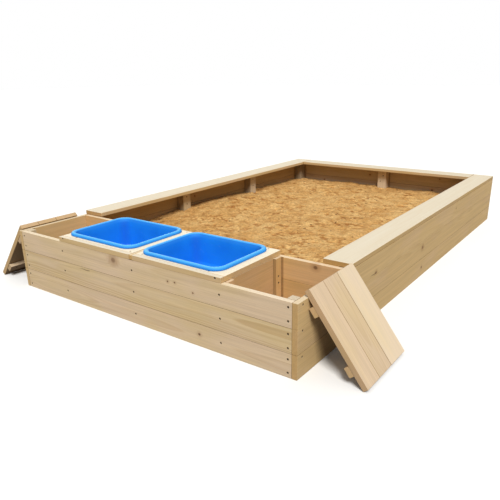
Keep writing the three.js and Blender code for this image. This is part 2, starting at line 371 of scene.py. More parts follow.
def stain_and_painted_shade(node, face):
    """How much painted shade darkens a face: the walls round the sand, and the posts on some sides only."""
    if "back_corner_post" in node:
        return CORNER_PAINTED_SHADE
    if face.normal.y < -0.5 and ("side_post" in node or "far_batten" in node):
        return NEAR_PAINTED_SHADE
    low, high = SAND_BOX
    place = face.center + face.normal * 2 * MM
    if abs(place.x) > high.x or place.z > SEAT_UNDERSIDE or not low.y < place.y < high.y:
        return 0.0
    return POST_PAINTED_SHADE if "post" in node else WALL_PAINTED_SHADE


def first_fit(table, node, otherwise):
    """What a table says for the first of its words that is in a node's name."""
    return next((value for word, value in table.items() if word in node), otherwise)


def end_grain(node, face, turn):
    """How much of the end grain's darker colour a face has."""
    if abs((turn @ face.normal).x) > 0.7:
        return first_fit(PALE_ENDS, node, 1.0)
    return SAWN_EDGE if "lid" in node and abs(face.normal.y) > 0.7 else 0.0


def grain_attributes(node, mesh, matrix, size, seed, knots):
    """What the pine material reads: board space, the pith's place, the knots, what each face meets, and
    each face's painted top light and painted shade.
    """
    draw = random.Random(seed)
    inverse = matrix.inverted()
    turn = inverse.to_3x3()
    put_attribute(mesh, "grain", "FLOAT_VECTOR", "POINT", [inverse @ v.co for v in mesh.vertices])
    pith_across = draw.uniform(-0.5, 0.5) * size.y
    pith_through = draw.choice((-1, 1)) * draw.uniform(0.025, 0.07)
    spread(mesh, "pith", (pith_across, pith_through, draw.uniform(0, 40)))
    chance = (draw.uniform(-1, 1), draw.uniform(-1, 1), draw.uniform(0.5, 1.1))
    spread(mesh, "tone", first_fit(TONES, node, chance))
    for index, knot in enumerate(knots + [NOWHERE] * (KNOTS_PER_BOARD - len(knots))):
        spread(mesh, f"knot_{index + 1}", [part * MM for part in knot])
    spread(mesh, "crack", [part * MM for part in CRACKS.get(node, NOWHERE)])

    faces = mesh.polygons
    seams_and_painted_shade = seam_and_painted_shade_faces(node, mesh, matrix)
    # Painted top light: upward faces that aren't in a joint are paler
    pale = first_fit(PAINTED_TOP_LIGHT, node, PAINTED_TOP_LIGHT_ELSEWHERE)
    bleached = [pale * (face.normal.z > 0.45) * (seam == 0) for face, seam in zip(faces, seams_and_painted_shade)]
    put_attribute(mesh, "end_grain", "FLOAT", "FACE", [end_grain(node, face, turn) for face in faces])
    put_attribute(mesh, "seam", "FLOAT", "FACE", seams_and_painted_shade)
    put_attribute(mesh, "bleached", "FLOAT", "FACE", bleached)
    # Painted shade on the faces round the sand, in the far corners and on the front sides of posts
    put_attribute(mesh, "stained", "FLOAT", "FACE", [stain_and_painted_shade(node, face) for face in faces])


def random_knots(node, size):
    """A knot or two on the boards whose knots aren't chosen."""
    draw = random.Random(node + " knots")
    knots = []
    for _ in range(draw.choice((0, 1, 1, 2)) if size.x > 0.5 else 0):
        along = draw.uniform(-0.45, 0.45) * size.x / MM
        across = draw.uniform(-0.4, 0.4) * size.y / MM
        knots.append((along, across, draw.uniform(2.5, 6.5)))
    return knots


def finish_timber(node, mesh, matrix, size, seed, knots):
    """Cuts a board's screw pits, shades it, and puts it in the place of its CAD node."""
    made = new_object(mesh.name, mesh)
    screws = screws_in(matrix, size)
    if screws:
        cut_pits(made, screws)
    smooth_round_faces(made.data, matrix.to_3x3().transposed())
    grain_attributes(node, made.data, matrix, size, seed, knots)
    stand_in(made, node)


def board(node):
    """A planed board in the place of a plain CAD one."""
    matrix, size = board_frame(node)
    seed = sum(map(ord, node)) % 97 + MORE_SEED.get(node, 0)
    edge = SOFT_EDGE if SLOTS[node] == "seat_pine" else EDGE
    mesh = board_mesh(node + "_timber", matrix, size, edge, seed)
    knots = KNOTS[node] if node in KNOTS else random_knots(node, size)
    finish_timber(node, mesh, matrix, size, seed, knots)


def stand_in(made, node):
    """Gives a piece its material and the body of the CAD node that it replaces, and hides that node."""
    made.data.materials.clear()
    made.data.materials.append(MATERIALS["post_pine" if "post" in node else SLOTS[node]])
    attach(made, BODIES[node])
    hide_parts(node)


# Knots: (along, across, radius) from a board's middle, in millimetres
KNOTS = {
    "front_plank_3": [(-76, 18, 8.5), (141, -1, 2.7), (167, 1, 2.7), (231, -14, 2.5)],
    "front_plank_2": [],
    "front_plank_1": [(246, 3, 3.9)],
    "right_side_plank_3": [(-466, -26, 4.2), (310, 8, 3)],
    "right_side_plank_2": [(-64, 10, 6.2)],
    "right_side_plank_1": [(-58, 0, 4.4)],
    "cross_wall_plank_3": [(448, 22, 6), (-420, -12, 4)],
    "cross_wall_plank_2": [],
    "back_plank_3": [(-81, -2, 4.5), (300, 10, 3)],
    "left_side_plank_3": [(-40, -4, 4)],
    "right_seat": [],
    "left_seat": [],
    "back_seat": [],
}
KNOTS_PER_BOARD = 4

# Drying cracks: (along, across, length) from a board's middle, in millimetres
CRACKS = {
    "right_side_plank_3": (-512, -27, 46),
    "front_plank_2": (-250, 26, 60),
}

# Tones that aren't left to chance: (lightness, warmth, strength of the rings), first two from -1 to 1.
# As for the painted top light, the first word that fits a node's name counts.
TONES = {
    "front_plank_3": (0.1, 0.5, 0.5),
    "front_plank_2": (-0.05, -0.1, 1.4),
    "front_plank_1": (0.05, 0.3, 0.7),
    "right_side_plank_3": (-0.45, -1.0, 0.5),
    "right_side_plank_2": (-0.55, -1.0, 0.6),
    "right_side_plank_1": (-0.45, -1.0, 0.5),
    "left_side_plank": (-0.8, -1.0, 0.4),
    # Painted shade: this far corner post is made darker
    "left_back_corner_post": (-1.0, 0.0, 0.5),
    "back_centre_post": (1.0, 1.0, 0.4),
    "left_side_post": (-0.2, 0.3, 0.4),
    "left_fascia": (-0.6, -0.8, 0.9),
    "right_fascia": (-0.7, -0.8, 0.8),
    "right_lid_board_1": (0.2, 0.9, 0.6),
    "right_lid_board_2": (-0.2, 0.4, 0.9),
    "right_lid_board_3": (0.75, 0.3, 0.4),
    "right_seat": (-0.75, -0.7, 0.5),
    "left_seat": (-0.95, 0.2, 0.5),
    "back_seat": (-1.0, 0.2, 0.5),
    "left_lid_board": (0.2, 0.0, 0.8),
    # Painted shade: this cleat under the left lid is made darker
    "left_lid_cleat_1": (-1.0, 0.2, 0.6),
    "left_lid_cleat_2": (-0.4, 0.2, 0.6),
    "right_lid_cleat": (0.4, -0.75, 0.6),
    "tub_panel": (1.0, 0.3, 0.4),
}
MORE_SEED = {"front_plank_2": 3, "front_plank_3": 11}  # added to a board's seed, for a better figure


# ---- screws

def screw_places():
    """(place, outward direction) of every screw head, worked out from the boards that they hold."""
    low, high = wall_box()
    places = []

    def row(x, y, rows, outward):
        places.extend((Vector((x, y, z * MM)), outward) for z in rows)

    for side in (-1, 1):
        across = Vector((side, 0, 0))
        corner = side * (high.x - CORNER_INSET)
        wall = side * high.x
        row(corner, low.y, CORNER_ROWS, FRONT)
        row(side * (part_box("right_divider")[0].x + HALF_BOARD), low.y, MIDDLE_ROWS, FRONT)
        row(wall, low.y + SIDE_INSET, SIDE_ROWS, across)
        row(wall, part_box("cross_wall_plank_1")[0].y + HALF_BOARD, SIDE_ROWS, across)
        row(corner, high.y, CORNER_ROWS, -FRONT)
        row(wall, high.y - SIDE_INSET, MIDDLE_ROWS, across)
    row(0, low.y, MIDDLE_ROWS, FRONT)
    return places + deck_screws() + inside_screws() + lid_screws()


def deck_screws():
    """Small countersunk screws through the deck panels and the fascia boards."""
    low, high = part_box("right_tub_panel")
    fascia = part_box("right_fascia")[0].y
    near = low.y + 8 * MM
    far = high.y - 9 * MM
    places = []
    for side in (-1, 1):
        places.append((Vector((side * 308 * MM, fascia, high.z - 4 * MM)), FRONT))
        for x, y in ((270, near), (292, far), (24, near), (24, far)):
            places.append((Vector((side * x * MM, y, high.z)), Vector((0, 0, 1))))
    return places


def inside_screws():
    """Screws through the battens and through the posts, from inside the box."""
    places = []

    def row(node, corner, rows, outward):
        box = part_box(node)
        middle = (box[0].y + box[1].y) / 2
        places.extend((Vector((box[corner].x, middle, z * MM)), outward) for z in rows)

    for side, prefix in ((-1, "left"), (1, "right")):
        across = Vector((side, 0, 0))
        outer = 1 if side > 0 else 0
        row(f"{prefix}_near_batten", outer, BATTEN_ROWS, across)
        row(f"{prefix}_far_batten", outer, BATTEN_ROWS, across)
        row(f"{prefix}_side_post_1", 1 - outer, POST_ROWS, -across)
        row(f"{prefix}_side_post_2", 1 - outer, POST_ROWS, -across)
    low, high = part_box("back_centre_post")
    for offset, z in ((-9, 141), (6, 172)):
        places.append((Vector(((low.x + high.x) / 2 + offset * MM, low.y, z * MM)), FRONT))
    return places


def lid_screws():
    """Two screws through a cleat into each lid board, driven from the underside."""
    places = []
    for prefix in ("left", "right"):
        for cleat in (1, 2):
            matrix, size = board_frame(f"{prefix}_lid_cleat_{cleat}")
            turn = matrix.to_3x3()
            outward = turn @ Vector((0, 0, 1))
            if outward.z > 0:
                outward = -outward
            for along in (-86, -50, -18, 18, 50, 86):
                offset = turn @ Vector((along * MM, 0, 0))
                places.append((matrix.translation + offset + outward * size.z / 2, outward))
    return places


def head_rings():
    """Rings of one screw head: its edge, its flat top and a cross-shaped recess."""
    top = -HEAD_SINK
    return [
        circle(HEAD_RADIUS * 0.9, top - 1.1 * MM),
        circle(HEAD_RADIUS, top - 0.4 * MM),
        circle(HEAD_RADIUS, top - 0.2 * MM),
        circle(HEAD_RADIUS * 0.93, top),
        circle(HEAD_RADIUS * 0.62, top, RECESS),
        circle(HEAD_RADIUS * 0.45, top - 0.9 * MM, RECESS),
    ]


def screw_heads(name, body, screws):
    draw = random.Random(name)
    twists = [draw.uniform(0, math.pi) for _ in screws]
    made = new_object(name, at_screws(name, head_rings(), screws, twists))
    made.data.shade_smooth()
    made.data.set_sharp_from_angle(angle=math.radians(HEAD_CREASE))
    made.data.materials.append(MATERIALS["screw_metal"])
    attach(made, body)


# ---- node trees

class Shader:
    """The node tree of a material or of the world. Most calls add one node and give its output."""

    def __init__(self, owner, surface="Principled BSDF"):
        owner.use_nodes = True
        self.owner = owner
        self.tree = owner.node_tree
        self.surface = self.tree.nodes[surface]

    def feed(self, socket, value):
        if isinstance(value, bpy.types.NodeSocket):
            self.tree.links.new(value, socket)
        else:
            socket.default_value = value

    def node(self, kind, inputs, output=0, **settings):
        made = self.tree.nodes.new(kind)
        for key, value in settings.items():
            setattr(made, key, value)
        for key, value in inputs.items():
            self.feed(made.inputs[key], value)
        return made.outputs[output]

    def math(self, operation, *values, clamp=False):
        return self.node("ShaderNodeMath", dict(enumerate(values)), operation=operation, use_clamp=clamp)

    def plus(self, first, second, clamp=False):
        return self.math("ADD", first, second, clamp=clamp)

    def minus(self, first, second):
        return self.math("SUBTRACT", first, second)

    def times(self, first, second, clamp=False):
        return self.math("MULTIPLY", first, second, clamp=clamp)

    def length(self, first, second):
        return self.math("SQRT", self.plus(self.times(first, first), self.times(second, second)))

    def attribute(self, name, output="Vector"):
        return self.node("ShaderNodeAttribute", {}, output, attribute_name=name)

    def split(self, vector):
        first = self.node("ShaderNodeSeparateXYZ", {0: vector})
        return first.node.outputs[0], first.node.outputs[1], first.node.outputs[2]

    def scaled(self, vector, x, y, z):
        return self.node("ShaderNodeVectorMath", {0: vector, 1: (x, y, z)}, operation="MULTIPLY")

    def place(self):
        return self.node("ShaderNodeTexCoord", {}, "Object")

    def noise(self, vector, scale, detail=2.0, roughness=0.5, seed=0.0, distortion=0.0):
        inputs = {"Vector": vector, "W": seed, "Scale": scale, "Detail": detail}
        inputs.update({"Roughness": roughness, "Distortion": distortion})
        return self.node("ShaderNodeTexNoise", inputs, "Fac", noise_dimensions="4D")

    def streaks(self, grain, along, across, *settings):
        """Noise with so many waves in a metre along the grain and across it."""
        return self.noise(self.scaled(grain, along, across, across), 1.0, *settings)

    def band(self, value, start, end, low=0.0, high=1.0):
        """low below start, high above end, and a smooth step between."""
        inputs = {"Value": value, "From Min": start, "From Max": end, "To Min": low, "To Max": high}
        return self.node("ShaderNodeMapRange", inputs, "Result", interpolation_type="SMOOTHSTEP")

    def mix(self, factor, first, second, blend="MIX"):
        inputs = {0: factor, 6: first, 7: second}
        return self.node("ShaderNodeMix", inputs, 2, data_type="RGBA", blend_type=blend)

    def tint(self, colour, factor):
        return self.mix(1.0, colour, factor, "MULTIPLY")

    def shade(self, colour, share, low, high):
        return self.tint(colour, self.mix(share, grey(low), grey(high)))

    def bump(self, height, distance, strength):
        inputs = {"Height": height, "Distance": distance, "Strength": strength}
        self.feed(self.surface.inputs["Normal"], self.node("ShaderNodeBump", inputs))

    def set(self, **sockets):
        for name, value in sockets.items():
            self.feed(self.surface.inputs[name.replace("_", " ")], value)


def rgb(red, green, blue):
    """A display colour, 0 to 255, as the linear colour that shaders use."""
    linear = []
    for value in (red, green, blue):
        share = value / 255
        linear.append(share / 12.92 if share <= 0.04045 else ((share + 0.055) / 1.055) ** 2.4)
    return (*linear, 1.0)


def grey(value):
    return (value, value, value, 1.0)


# ---- materials

RING_WIDTH = 2.9 * MM
CREAM = rgb(232, 222, 200)  # the pale colour that painted top light gives pine
YELLOWISH = (1.0, 0.945, 0.775, 1.0)  # the tints between which the wood varies
ROSY = (1.03, 0.975, 0.97, 1.0)
GOLDEN = (0.98, 0.9, 0.77, 1.0)  # a further tint of the least rosy boards
END_TINT = (0.8, 0.7, 0.56, 1.0)  # how much darker end grain is
PAINTED_SHADE_TINT = (0.5, 0.49, 0.5, 1.0)  # how much darker full painted shade makes the wood
DAMP_SAND = (0.9, 0.84, 0.75, 1.0)  # how much darker the damp lumps of sand are
FLOOR_BOUNCE = 0.32  # how light the floor is to all rays but the camera's


def knot_terms(s, name, along, across, fray):
    """How far a point is from a knot's middle, in radii, and the knot's radius."""
    place_along, place_across, radius = s.split(s.attribute(name))
    off_along = s.math("DIVIDE", s.minus(along, place_along), s.times(radius, 1.2))
    off_across = s.math("DIVIDE", s.minus(across, place_across), radius)
    return s.plus(s.length(off_along, off_across), fray), radius


def ring_pattern(s, grain, seed, knots):
    """Share of dark latewood: rings round a pith that wanders along the board, pushed aside by knots."""
    _, across, through = s.split(grain)
    pith_across, pith_through, _ = s.split(s.attribute("pith"))
    wander = s.times(s.minus(s.streaks(grain, 1.5, 0.0, 1.0, 0.5, seed), 0.5), 0.03)
    ripple = s.minus(s.streaks(grain, 5.0, 26.0, 3.0, 0.55, seed), 0.5)
    off_across = s.plus(s.minus(across, pith_across), s.times(ripple, 0.006))
    off_through = s.plus(s.minus(through, pith_through), wander)
    radius = s.length(off_across, off_through)
    for distance, size in knots:
        fall = s.math("EXPONENT", s.times(s.times(distance, distance), -0.2))
        radius = s.plus(radius, s.times(s.times(fall, size), 0.9))
    rings = s.math("DIVIDE", radius, RING_WIDTH)
    share = s.math("FRACT", rings)
    rise = s.band(share, 0.15, 0.84)
    drop = s.band(share, 0.86, 1.0, 1.0, 0.0)
    place = s.plus(s.math("FLOOR", rings), seed)
    whim = s.node("ShaderNodeTexWhiteNoise", {"W": place}, "Value", noise_dimensions="1D")
    whim = s.plus(s.times(whim, 0.85), 0.15)
    return s.times(s.times(rise, drop), whim)


def crack_line(s, along, across):
    """A thin dark line along the grain, tapered to nothing at both ends."""
    start, line, length = s.split(s.attribute("crack"))
    share = s.math("DIVIDE", s.minus(along, start), length)
    inside = s.times(s.band(share, 0.0, 0.6), s.band(share, 0.9, 1.0, 1.0, 0.0))
    wobble = s.times(s.math("SINE", s.times(share, 11.0)), 0.7 * MM)
    off = s.math("ABSOLUTE", s.plus(s.minus(across, line), wobble))
    return s.times(inside, s.band(off, 0.6 * MM, 1.8 * MM, 1.0, 0.0))


def pine(name, early, late, figure):
    """Planed softwood: growth rings cut by the board, fibres, flecks, knots, cracks and end grain, with
    painted top light and painted shade.
    """
    s = Shader(bpy.data.materials.new(name))
    grain = s.attribute("grain")
    along, across, _ = s.split(grain)
    _, _, seed = s.split(s.attribute("pith"))
    lightness, warmth, ring_strength = s.split(s.attribute("tone"))
    fray = s.times(s.minus(s.noise(grain, 420.0, 2.0, 0.6, seed), 0.5), 0.5)
    knots = [knot_terms(s, f"knot_{index + 1}", along, across, fray) for index in range(KNOTS_PER_BOARD)]
    latewood = ring_pattern(s, grain, seed, knots)
    latewood = s.times(latewood, s.times(ring_strength, figure), clamp=True)

    fibre = s.streaks(grain, 9.0, 620.0, 3.0, 0.6, seed)
    streak = s.streaks(grain, 3.0, 110.0, 3.0, 0.6, seed)
    mottle = s.streaks(grain, 5.0, 13.0, 3.0, 0.55, seed)
    fleck = s.band(s.streaks(grain, 55.0, 900.0, 2.0, 0.5, seed), 0.66, 0.74)

    colour = s.mix(latewood, early, late)
    rosy = s.plus(s.band(mottle, 0.3, 0.7), s.times(warmth, 0.5), clamp=True)
    colour = s.tint(colour, s.mix(rosy, YELLOWISH, ROSY))
    colour = s.tint(colour, s.mix(s.band(warmth, -1.0, -0.4, 1.0, 0.0), grey(1.0), GOLDEN))
    colour = s.shade(colour, s.band(fibre, 0.3, 0.7), 0.93, 1.05)
    colour = s.shade(colour, s.band(streak, 0.3, 0.7), 0.94, 1.04)
    lift = s.times(s.plus(lightness, 1.0), 0.5)
    colour = s.shade(colour, lift, 0.88, 1.07)
    colour = s.mix(s.times(fleck, 0.16), colour, rgb(120, 84, 48))
    colour = s.mix(s.attribute("end_grain", "Fac"), colour, s.tint(colour, END_TINT))

    # Painted top light: the upward faces get a paler, creamier colour
    pale = s.mix(s.band(streak, 0.25, 0.75), CREAM, s.mix(0.2, CREAM, early))
    pale = s.shade(pale, lift, 0.9, 1.1)
    colour = s.mix(s.attribute("bleached", "Fac"), colour, s.mix(s.times(latewood, 0.6), pale, early))
    # Painted shade on the walls and posts round the sand
    colour = s.mix(s.attribute("stained", "Fac"), colour, s.tint(colour, PAINTED_SHADE_TINT))
    # Dark joints, and the painted shade on the lids' undersides
    colour = s.mix(s.attribute("seam", "Fac"), colour, rgb(100, 62, 32))

    heart = s.mix(s.band(fibre, 0.35, 0.65), rgb(74, 46, 28), rgb(116, 76, 46))
    for distance, size in knots:
        strength = s.band(size, 2 * MM, 7 * MM, 0.2, 0.42)
        halo = s.times(s.band(distance, 0.9, 3.4, 1.0, 0.0), strength)
        colour = s.mix(halo, colour, rgb(158, 112, 74))
        strength = s.band(size, 3 * MM, 8 * MM, 0.9, 0.55)
        core = s.times(s.band(distance, 0.5, 1.2, 1.0, 0.0), strength)
        colour = s.mix(core, colour, heart)
    crack = crack_line(s, along, across)
    colour = s.mix(s.times(crack, 0.7), colour, rgb(80, 54, 30))

    s.set(Base_Color=colour, Roughness=s.band(fibre, 0.2, 0.8, 0.58, 0.8), Specular_IOR_Level=0.3)
    relief = s.plus(s.times(fibre, 0.7), s.times(latewood, 0.45))
    s.bump(s.minus(relief, crack), 0.35 * MM, 0.5)
    return s.owner


def plywood(name):
    """A thin sheet with a broad rotary-cut figure and plain ply edges."""
    s = Shader(bpy.data.materials.new(name))
    grain = s.attribute("grain")
    _, _, seed = s.split(s.attribute("pith"))
    figure = s.streaks(grain, 6.0, 40.0, 4.0, 0.6, seed, 1.2)
    fibre = s.streaks(grain, 14.0, 520.0, 3.0, 0.6, seed)
    colour = s.mix(s.band(figure, 0.35, 0.65), rgb(196, 160, 112), rgb(172, 130, 82))
    colour = s.shade(colour, fibre, 0.88, 1.06)
    s.set(Base_Color=colour, Roughness=s.band(fibre, 0.2, 0.8, 0.6, 0.82))
    s.bump(fibre, 0.3 * MM, 0.5)
    return s.owner


def blue_plastic(name):
    """Slightly translucent moulded plastic: deep in the walls, deepest in the corners from painted shade,
    pale on the rim from a painted highlight.
    """
    s = Shader(bpy.data.materials.new(name))
    place = s.place()
    cloud = s.noise(place, 14.0, 2.0)
    wall = s.mix(s.band(cloud, 0.35, 0.65), rgb(8, 122, 222), rgb(14, 130, 228))
    # Painted shade in the corners of the tub
    wall = s.mix(s.attribute("thick", "Fac"), wall, rgb(0, 98, 200))
    # Painted highlight on the rim
    colour = s.mix(s.attribute("rim", "Fac"), wall, rgb(90, 185, 247))
    scuff = s.band(s.noise(s.scaled(place, 30.0, 260.0, 90.0), 1.0, 4.0, 0.65), 0.58, 0.72)
    colour = s.mix(s.times(scuff, 0.06), colour, rgb(150, 200, 250))
    grainy = s.noise(place, 900.0, 2.0)
    matt = s.mix(s.attribute("rim", "Fac"), grey(0.74), grey(0.46))
    rough = s.plus(matt, s.times(scuff, 0.08))
    s.set(Base_Color=colour, Roughness=rough, Specular_IOR_Level=0.25)
    s.bump(grainy, 0.05 * MM, 0.25)
    return s.owner


def loose_sand(name):
    """Coarse play sand: damp patches, crumbs, pale grains, dark specks and painted shade in the hollows."""
    s = Shader(bpy.data.materials.new(name))
    place = s.place()
    hollow = s.attribute("hollow", "Fac")
    patch = s.noise(place, 12.0, 4.0, 0.6)
    lump = s.noise(place, 19.0, 6.0, 0.78, 2.0, 0.4)
    clump = s.noise(place, 110.0, 4.0, 0.7)
    grains = s.noise(place, 700.0, 3.0, 0.7)
    cells = s.node("ShaderNodeTexVoronoi", {"Vector": place, "Scale": 420.0}, "Distance")
    dry = s.mix(s.band(patch, 0.3, 0.7), rgb(216, 167, 100), rgb(236, 196, 131))
    # Painted shade in the hollows of the sand
    colour = s.mix(s.band(hollow, 0.2, 0.95), dry, rgb(178, 124, 66))
    colour = s.tint(colour, s.mix(s.band(lump, 0.38, 0.62), DAMP_SAND, grey(1.05)))
    colour = s.mix(s.band(clump, 0.38, 0.62), s.tint(colour, grey(0.68)), colour)
    colour = s.shade(colour, s.band(grains, 0.3, 0.7), 0.84, 1.12)
    dark = s.band(s.noise(place, 50.0, 2.0, 0.5, 4.0), 0.66, 0.7)
    colour = s.mix(s.times(dark, 0.9), colour, rgb(92, 56, 28))
    pale = s.band(s.noise(place, 330.0, 2.0, 0.5, 9.0), 0.7, 0.75)
    colour = s.mix(s.times(pale, 0.6), colour, rgb(252, 232, 190))
    s.set(Base_Color=colour, Roughness=s.band(grains, 0.2, 0.8, 0.85, 1.0), Specular_IOR_Level=0.2)
    relief = s.plus(s.times(clump, 1.6), s.plus(grains, cells))
    s.bump(relief, 1.1 * MM, 0.8)
    return s.owner


def screw_metal(name):
    """Yellow-passivated steel gone dull, with dark grimy patches."""
    s = Shader(bpy.data.materials.new(name))
    place = s.place()
    stain_and_painted_shade = s.band(s.noise(place, 900.0, 3.0), 0.4, 0.6)
    colour = s.mix(stain_and_painted_shade, rgb(112, 92, 64), rgb(62, 48, 36))
    s.set(Base_Color=colour, Metallic=0.75, Roughness=s.band(stain_and_painted_shade, 0.0, 1.0, 0.4, 0.6))
    s.bump(stain_and_painted_shade, 0.05 * MM, 0.4)
    return s.owner


def woven_sheet(name):
    """Black ground-cover weave: flat tapes over and under each other."""
    s = Shader(bpy.data.materials.new(name))
    place = s.place()
    x, y, _ = s.split(place)
    pitch = 2 * MM
    warp = s.math("SINE", s.times(x, math.tau / pitch))
    weft = s.math("SINE", s.times(y, math.tau / pitch))
    weave = s.times(warp, weft)
    colour = s.mix(s.band(weave, -1.0, 1.0), rgb(42, 44, 46), rgb(74, 77, 80))
    dust = s.band(s.noise(place, 6.0, 4.0, 0.6), 0.45, 0.7)
    colour = s.mix(s.times(dust, 0.3), colour, rgb(150, 124, 88))
    s.set(Base_Color=colour, Roughness=s.band(weave, -1.0, 1.0, 0.9, 0.7))
    s.bump(weave, 0.3 * MM, 0.6)
    return s.owner


def pale_floor(name):
    """White to the camera; it throws less light back up at the timber than white paper would."""
    s = Shader(bpy.data.materials.new(name))
    place = s.place()
    white = s.mix(s.noise(place, 3.0, 2.0), rgb(246, 246, 245), rgb(250, 250, 249))
    seen = s.node("ShaderNodeLightPath", {}, "Is Camera Ray")
    s.set(Base_Color=s.mix(seen, grey(FLOOR_BOUNCE), white), Roughness=1.0, Specular_IOR_Level=0.0)
    return s.owner


# ---- deck panels

def panel_ring(shape, inset, z):
    centre, half, corner = shape
    radii = [corner - inset] * 4
    outline = rounded_rectangle(half.x - inset, half.y - inset, radii, TUB_CORNER_STEPS)
    return [Vector((centre.x + x, centre.y + y, z)) for x, y in outline]


def edge_rings(shape, inward, level, upward):
    """Rings over a panel's rounded edge, from its side to its flat face at a level."""
    rings = []
    for step in range(EDGE_STEPS + 1):
        turn = step / EDGE_STEPS * math.pi / 2
        inset = inward * EDGE * (1 - math.cos(turn))
        rings.append(panel_ring(shape, inset, level - upward * EDGE * (1 - math.sin(turn))))
    return rings


def deck_panel(side):
    """A panel of the play deck with a round-cornered hole for its tub."""
    node = f"{side}_tub_panel"
    low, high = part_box(node)
    tub_low, tub_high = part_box(f"{side}_tub")
    outer = ((low + high) / 2, (high - low) / 2, 2 * EDGE)
    draw_in = RIM_WIDE - HOLE_CLEARANCE
    tub_half = (tub_high - tub_low) / 2
    hole_half = Vector((tub_half.x - draw_in, tub_half.y - draw_in, 0))
    hole = ((tub_low + tub_high) / 2, hole_half, TUB_CORNER - draw_in)
    rings = edge_rings(outer, 1, high.z, 1)
    rings += edge_rings(hole, -1, high.z, 1)[::-1]
    rings += edge_rings(hole, -1, low.z, -1)
    rings += edge_rings(outer, 1, low.z, -1)[::-1]
    points = [point for ring in rings for point in ring]
    mesh = mesh_from(node + "_timber", points, loft_faces(len(rings), len(rings[0]), around=True))
    matrix = Matrix.Translation((low + high) / 2)
    finish_timber(node, mesh, matrix, high - low, PANEL_SEEDS[side], [])


# ---- tubs

def wall_inset(height):
    """How far in from the rim's outside the tub's outer skin is, at a height above its floor."""
    return RIM_WIDE + TUB_TAPER * (1 - height / TUB_HEIGHT)


def tub_profile():
    """(inset, height above the tub's floor, share of the rim's painted highlight): up outside, over the
    rim, down inside.
    """
    lip = RIM_WIDE / 2
    turns = [step / TUB_ROUND_STEPS * math.pi / 2 for step in range(TUB_ROUND_STEPS + 1)]

    def fillet(floor, skin, radius):
        ring = []
        for turn in turns:
            height = floor + radius * (1 - math.cos(turn))
            ring.append((wall_inset(height) + skin + radius * (1 - math.sin(turn)), height, 0.0))
        return ring

    def wall(skin, shares):
        return [(wall_inset(share * TUB_HEIGHT) + skin, share * TUB_HEIGHT, 0.0) for share in shares]

    foot = TUB_HEIGHT - RIM_HEIGHT
    under = [
        (RIM_WIDE, TUB_HEIGHT - TUB_WALL * 1.6, 0.0),
        (lip, TUB_HEIGHT - TUB_WALL, 0.0),
        (TUB_WALL, TUB_HEIGHT - TUB_WALL - lip / 2, 0.0),
        (TUB_WALL, foot + 0.4 * MM, 0.0),
        (TUB_WALL * 0.5, foot, 0.0),
        (TUB_WALL * 0.1, foot + 0.5 * MM, 0.0),
        (0, foot + 1.4 * MM, 0.1),
    ]
    over = []
    for turn in turns:
        # Painted highlight: palest on top of the rim
        pale = 0.15 + 0.85 * math.sin(turn) ** 2
        over.append((lip * (1 - math.cos(turn)), TUB_HEIGHT - lip * (1 - math.sin(turn)), pale))
    roll = 0.55 * RIM_WIDE
    inward = []
    for turn in turns[1:]:
        inset = lip + roll * math.sin(turn) * 0.9
        inward.append((inset, TUB_HEIGHT - roll * 0.6 * (1 - math.cos(turn)), 1 - turn / math.pi * 1.6))
    outside = fillet(0, 0, TUB_FILLET) + wall(0, (0.3, 0.5, 0.7, 0.85))
    inside = wall(TUB_WALL, (0.86, 0.7, 0.5, 0.32))
    inside += fillet(TUB_WALL, TUB_WALL, TUB_FILLET - TUB_WALL)[::-1]
    return outside + under + over + inward + inside


def tub(side):
    """A blue tub that hangs in its hole by a rolled rim."""
    node = f"{side}_tub"
    low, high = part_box(node)
    centre = (low + high) / 2
    half = (high - low) / 2
    base = high.z - TUB_HEIGHT
    steps = range(TUB_CORNER_STEPS + 1)
    in_corner = [max(0.0, math.sin(math.pi * step / TUB_CORNER_STEPS)) for step in steps] * 4
    points = []
    rim_painted_highlight = []
    thick = []
    profile = tub_profile()
    for inset, height, rim in profile:
        radii = [max(TUB_CORNER - inset, TUB_INNER_CORNER)] * 4
        outline = rounded_rectangle(half.x - inset, half.y - inset, radii, TUB_CORNER_STEPS)
        points += [Vector((centre.x + x, centre.y + y, base + height)) for x, y in outline]
        # Painted highlight on the rim, and painted shade in the corners below it
        rim_painted_highlight += [rim] * len(outline)
        thick += [0.85 * share if height < 0.93 * TUB_HEIGHT else 0.0 for share in in_corner]
    mesh = mesh_from(node + "_moulding", points, loft_faces(len(profile), len(in_corner)))
    put_attribute(mesh, "rim", "FLOAT", "POINT", rim_painted_highlight)
    put_attribute(mesh, "thick", "FLOAT", "POINT", thick)
    mesh.shade_smooth()
    mesh.set_sharp_from_angle(angle=math.radians(TUB_CREASE))
    stand_in(new_object(node + "_moulding", mesh), node)


# ---- sand and ground sheet

def grid_lines(low, high, stops):
    """Places from low to high about SAND_GRID apart, with a line on every stop."""
    marks = sorted({low, high, *[stop for stop in stops if low < stop < high]})
    lines = [low]
    for start, end in zip(marks, marks[1:]):
        count = max(1, round((end - start) / SAND_GRID))
        lines += [start + (end - start) * (index + 1) / count for index in range(count)]
    return lines


def sand_base(x, y):
    """The sand's level as its solid has it: heaped along the left wall, with shallow hollows."""
    x /= MM
    y /= MM
    away_x = (x - HEAP_AT[0]) / HEAP_REACH[0]
    away_y = (y - HEAP_AT[1]) / HEAP_REACH[1]
    heap = HEAP_HEIGHT * math.exp(-(away_x ** 2) - away_y ** 2)
    waves = WAVE_HEIGHT * math.sin(x / WAVE_LENGTH[0] + WAVE_SHIFT) * math.cos(y / WAVE_LENGTH[1])
    ripples = RIPPLE_HEIGHT * math.sin(x / RIPPLE_LENGTH[0] - y / RIPPLE_LENGTH[1])
    return SAND_LEVEL + (heap + waves + ripples) * MM


def clamp(value):
    return max(0.0, min(1.0, value))


